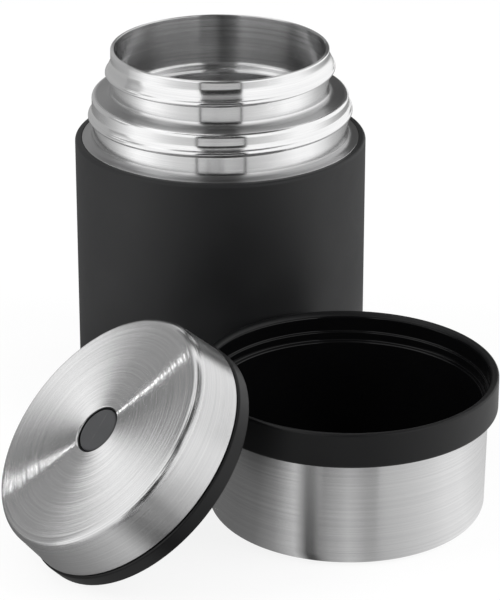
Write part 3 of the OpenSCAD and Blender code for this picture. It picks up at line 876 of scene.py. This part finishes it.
def coil():
    """The button's spring, a round wire swept along a helix.

    After t turns the wire's middle is at (R cos 2 pi t, R sin 2 pi t, z). z climbs by the wire's
    thickness in the first turn and in the last, and evenly between them. A point of the wire's
    surface at angle b is the middle moved by the wire's radius times (radial cos b + upright sin b),
    where upright is square to the wire's course and to the radial direction.
    """
    steps, sides = 384, 12
    turns = np.linspace(0, spring_turns, steps)
    low, high = spring_low + wire_r, spring_top - wire_r
    climb = np.interp(turns, [0, 1, spring_turns - 1, spring_turns],
                      [low, low + 2 * wire_r, high - 2 * wire_r, high])
    angle = 2 * math.pi * turns
    radial = np.column_stack([np.cos(angle), np.sin(angle), np.zeros(steps)])
    middle = spring_r * radial
    middle[:, 2] = climb
    course = np.gradient(middle, axis=0)
    upright = np.cross(radial, course)
    upright /= np.linalg.norm(upright, axis=1)[:, None]
    round_it = (np.arange(sides) * 2 * math.pi / sides)[None, :, None]
    points = middle[:, None] + wire_r * (radial[:, None] * np.cos(round_it)
                                         + upright[:, None] * np.sin(round_it))
    points = put(points.reshape(-1, 3) * MM, lid_at)
    piece = new_piece("coil_spring", points, tube_faces(steps, sides), "lid", "spring_steel")
    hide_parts("button_spring")
    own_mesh(piece)


def dress_hidden():
    """Materials for the solids that stay as they are."""
    finish = {"radiation_foil": "copper_foil", "vacuum_seal": "solder_glass",
              "getter_holder": "spring_steel", "getter": "getter_metal", "foam_core": "foam",
              "button_guide": "matte_black", "valve_stem": "spring_steel"}
    for name, look in finish.items():
        materials = bpy.data.objects[name].data.materials
        materials.clear()
        materials.append(LOOKS[look])


for make in (body_shell, neck, vessel, base_sheet, foot_pad, cup_sheet, bowl, collar, cap,
             rim_and_skirt, nose, seal, button_cap, soft_disc, clip_ring, coil, dress_hidden):
    make()

# Stage pieces


def stage_piece(name, corners, faces, material):
    """A stage piece, given in millimetres."""
    mesh = bpy.data.meshes.new(name)
    mesh.from_pydata((np.array(corners) * MM).tolist(), [], faces)
    mesh.materials.append(material)
    piece = in_scene(name, mesh)
    return piece


def only_in_gloss(piece):
    """Shows a piece of the stage to reflections alone."""
    piece.visible_camera = False
    piece.visible_diffuse = False
    piece.visible_shadow = False


def ramp(tree, value, stops):
    """A value read off a ramp of (place, grey) stops."""
    made = add(tree, "ValToRGB", {"Fac": value})
    band = made.color_ramp
    while len(band.elements) > 1:
        band.elements.remove(band.elements[-1])
    band.elements[0].position = stops[0][0]
    band.elements[0].color = (stops[0][1],) * 3 + (1,)
    for place, grey in stops[1:]:
        band.elements.new(place).color = (grey,) * 3 + (1,)
    return made.outputs["Color"]


def bearing(tree, x, y):
    """The angle round the upright axis in degrees, from the front and counted to the right."""
    angle = calc(tree, "ARCTAN2", x, times(tree, y, -1.0))
    return times(tree, angle, 180 / math.pi)


def floor():
    """A wide floor that reads as white: mostly its own glow, and a little shade that takes the
    object's shadow."""
    half, depth, glow, rough, bumps = 6000, -0.2, 0.86, 0.9, 300.0
    material, tree, shader = new_material("pale_floor")
    grain = use(tree, FINE_GRAIN, {"Vector": surface_place(tree), "Bumps": bumps})
    colour = blend(tree, grain["Tone"], (0.155, 0.155, 0.155), (0.16, 0.16, 0.16))
    feed(tree, shader.inputs, {"Base Color": colour, "Roughness": rough, "Specular IOR Level": 0.0,
                               "Emission Color": (1, 1, 1, 1), "Emission Strength": glow})
    corners = [(-half, -half, depth), (half, -half, depth), (half, half, depth), (-half, half, depth)]
    piece = stage_piece("floor", corners, [(0, 1, 2, 3)], material)
    piece.visible_glossy = False


# Cards on the table round the cup: how far their focus lies in front of its middle, then bearing
# from the focus and grey
CUP_FOCUS = 24.0
CUP_CARDS = [(-180, 0.3), (-156, 0.1), (-143, 0.03), (-124, 0.04), (-112, 0.15), (-92, 0.16),
             (-75, 0.19), (-61, 0.31), (-51, 0.5), (-45, 0.6), (-40, 0.36), (-35, 0.07), (-30, 0.09),
             (-25, 0.25), (-17, 0.42), (-9, 0.51), (-1, 0.62), (6, 0.56), (14, 0.46), (20, 0.45),
             (31, 0.55), (42, 0.61), (54, 0.69), (67, 0.79), (80, 0.92), (95, 0.97), (113, 0.83),
             (137, 0.66), (180, 0.5)]


def cup_table():
    """The table close round the cup, seen only in its gloss: light and dark cards that fan out from
    a focus in front of the cup's middle."""
    table_r, table_z, step = 165.0, -0.1, 5
    material, tree, light = new_material("cup_cards", "Emission")
    parts = parted(tree, surface_place(tree))
    across = calc(tree, "SUBTRACT", parts["X"], cup_x * MM)
    deep = calc(tree, "SUBTRACT", parts["Y"], (cup_y - CUP_FOCUS) * MM)
    share = plus(tree, calc(tree, "DIVIDE", bearing(tree, across, deep), 360.0), 0.5)
    cards = ramp(tree, share, [(angle / 360 + 0.5, grey) for angle, grey in CUP_CARDS])
    tree.links.new(cards, light.inputs["Color"])
    turn = np.radians(np.arange(0, 360, step))
    corners = [(cup_x + table_r * math.sin(a), cup_y + table_r * math.cos(a), table_z)
               for a in turn[::-1]]
    only_in_gloss(stage_piece("cup_cards", corners, [tuple(range(len(corners)))], material))


def neck_card():
    """A curved grey card to the neck's left, seen in gloss alone: part of a cylinder round the
    jar's axis, between the neck and the lid's strip of light."""
    card_r, low, high, grey = 105.0, 98.0, 200.0, 0.42
    turn = np.radians(np.linspace(-170, -92, 40))
    rows = [np.stack([card_r * np.sin(turn), -card_r * np.cos(turn), np.full_like(turn, height)],
                     axis=-1) for height in (low, high)]
    column = np.arange(len(turn) - 1)
    over = len(turn)
    faces = np.stack([column, column + 1, column + 1 + over, column + over], axis=-1)
    material, tree, light = new_material("neck_card", "Emission")
    feed(tree, light.inputs, {"Color": (grey, grey, grey, 1.0)})
    only_in_gloss(stage_piece("neck_card", np.vstack(rows), faces.tolist(), material))


# The studio's cards as gloss sees them: bearing from and to, height from and to, softness, grey.
# Bearings past 180 run on round the back. Later cards lie over earlier ones, and all of them over
# the flanks' grey, which turns into the low light, by bearing, towards the floor.
FLANKS = 1.04
LOW_LIGHT = [(-180, 0.2), (-150, 0.25), (-124, 0.36), (-108, 0.55), (-94, 0.85), (-80, 1.08),
             (-66, 1.02), (-52, 0.8), (-40, 0.66), (-28, 0.6), (0, 0.56), (28, 0.62), (44, 0.72),
             (58, 0.85), (72, 1.05), (90, 1.05), (105, 0.85), (121, 0.55), (150, 0.3), (180, 0.2)]
LOW_LIGHT_HEIGHTS = (-16.0, -4.0)
CARDS = [
    ((-180, 181), (58, 91), 5.0, 0.06),
    ((-200, -88), (-12, 50), 5.0, 0.42),
    ((-175, -75), (52, 91), 6.0, 1.15),
    ((150, 210), (3, 45), 4.0, 0.12),
    ((-21.4, 23.7), (-91, -14), 0.5, 0.03),
    ((-19.4, 21.7), (-91, -17), 0.5, 0.84),
    ((-20.4, 22.7), (-15, 60), 0.7, 0.02),
    ((-20.4, 22.7), (33.5, 40), 0.7, 0.8),
]
EVEN_LIGHT = (0.65, 0.65, 0.65)

# The fan of light and shade round the direction that the lid's top mirrors. Angles run round that
# direction from level, to the right and up, and hold for both of its halves. The strip is a thin
# line across it: its tilt, half its width and its brightness, and how far down it reaches.
FAN_WAY = (-125.8, 21.6)
FAN = [(0, 0.53), (8, 0.47), (16, 0.38), (24, 0.35), (45, 0.34), (75, 0.34), (88, 0.26), (100, 0.22),
       (117, 0.22), (123, 0.32), (129, 0.54), (135, 0.8), (141, 1.02), (148, 1.14), (155, 1.12),
       (163, 0.98), (171, 0.78), (180, 0.53)]
FAN_STRIP = (97.0, 0.005, 9.0)
FAN_STRIP_REACH = (-0.28, -0.1)


def share_along(tree, way, direction):
    """How far a direction runs along another one."""
    made = add(tree, "VectorMath", {0: way, 1: direction}, operation="DOT_PRODUCT")
    return made.outputs["Value"]


def fan_directions():
    """The direction that the lid's top mirrors, and two more, level and upward, square to it."""
    side, rise = (math.radians(part) for part in FAN_WAY)
    middle = Vector((math.sin(side) * math.cos(rise), -math.cos(side) * math.cos(rise),
                     math.sin(rise)))
    level = middle.cross(Vector((0, 0, 1))).normalized()
    return middle, level, level.cross(middle)


def lid_fan(tree, way, height, grey):
    """Lays the fan and its bright strip over the grey, in a disc round the direction that the lid
    mirrors. The grey there depends only on the angle round that direction."""
    middle, level, upward = fan_directions()
    x, y = share_along(tree, way, level), share_along(tree, way, upward)
    half_turn = calc(tree, "DIVIDE", calc(tree, "ARCTAN2", y, x), math.pi)
    share = calc(tree, "FLOORED_MODULO", half_turn, 1.0)
    cards = ramp(tree, share, [(angle / 180, card) for angle, card in FAN])
    near = spread(tree, share_along(tree, way, middle), 0.8, 0.9)
    near = times(tree, near, spread(tree, height, -0.2, -0.1))
    grey = lay_over(tree, grey, near, cards)
    tilt, half_width, bright = FAN_STRIP
    slope = math.radians(tilt)
    off = calc(tree, "SUBTRACT", times(tree, x, math.sin(slope)), times(tree, y, math.cos(slope)))
    low, high = FAN_STRIP_REACH
    strip = times(tree, window(tree, off, -half_width, half_width, 0.002),
                  window(tree, y, low, high, 0.02))
    return plus(tree, grey, times(tree, strip, bright))


def gloss_light(tree):
    """What gloss sees of the studio: the flanks, the low light, the cards and the lid's fan."""
    way = add(tree, "TexCoord").outputs["Generated"]
    parts = parted(tree, way)
    turn = bearing(tree, parts["X"], parts["Y"])
    behind = calc(tree, "FLOORED_MODULO", turn, 360.0)
    rise = times(tree, calc(tree, "ARCSINE", parts["Z"]), 180 / math.pi)
    low_light = ramp(tree, calc(tree, "DIVIDE", plus(tree, turn, 180.0), 360.0),
                     [((angle + 180) / 360, card) for angle, card in LOW_LIGHT])
    grey = lay_over(tree, FLANKS, spread(tree, rise, *LOW_LIGHT_HEIGHTS, 1.0, 0.0), low_light)
    for (left, right), (low, high), soft, card in CARDS:
        angle = behind if right > 181 else turn
        mask = times(tree, window(tree, angle, left, right, soft), window(tree, rise, low, high, soft))
        grey = lay_over(tree, grey, mask, card)
    return lid_fan(tree, way, parts["Z"], grey)


def studio():
    """The world: white to the eye, even for soft light, and cards of light and shade for gloss."""
    world = bpy.data.worlds.new("studio")
    bpy.context.scene.world = world
    world.use_nodes = True
    tree = world.node_tree
    tree.nodes.clear()
    grey = gloss_light(tree)
    paths = add(tree, "LightPath").outputs
    gloss = calc(tree, "MAXIMUM", paths["Is Glossy Ray"], paths["Is Transmission Ray"])
    even = blend(tree, gloss, EVEN_LIGHT, joined(tree, grey, grey, grey))
    seen = blend(tree, paths["Is Camera Ray"], even, (1.0, 1.0, 1.0))
    light = add(tree, "Background", {"Color": seen, "Strength": 1.0})
    add(tree, "OutputWorld", {"Surface": light.outputs[0]})


def lamp(name, place):
    """A soft box at a place, turned to the middle of the object, that lights the matte parts only."""
    target, power = (0, -0.05, 0.05), 6.0
    light = bpy.data.lights.new(name, "AREA")
    light.shape = "RECTANGLE"
    light.size, light.size_y = 0.6, 0.9
    light.energy = power
    made = in_scene(name, light)
    made.location = place
    made.rotation_euler = (Vector(target) - Vector(place)).to_track_quat("-Z", "Y").to_euler()
    made.visible_glossy = False


def camera():
    """The photograph's view: 23 degrees down, from a metre away, with a long lens. Its place is
    given in shares of the body's radius."""
    pixels_wide, focal_pixels, down = 500, 2877, 22.96
    place_shares = (0.204, -18.689, 8.58)
    view = bpy.data.cameras.new("camera")
    view.sensor_fit = "HORIZONTAL"
    view.sensor_width = 36.0
    view.lens = focal_pixels / pixels_wide * view.sensor_width
    made = in_scene("camera", view)
    made.location = tuple(share * body_r * MM for share in place_shares)
    made.rotation_euler = (math.radians(90 - down), 0, 0)
    bpy.context.scene.camera = made


floor()
cup_table()
studio()
neck_card()
lamp("left_box", (-0.9, -0.3, 0.7))
lamp("right_box", (0.9, -0.4, 0.7))
camera()
bpy.context.scene.view_settings.view_transform = "Standard"
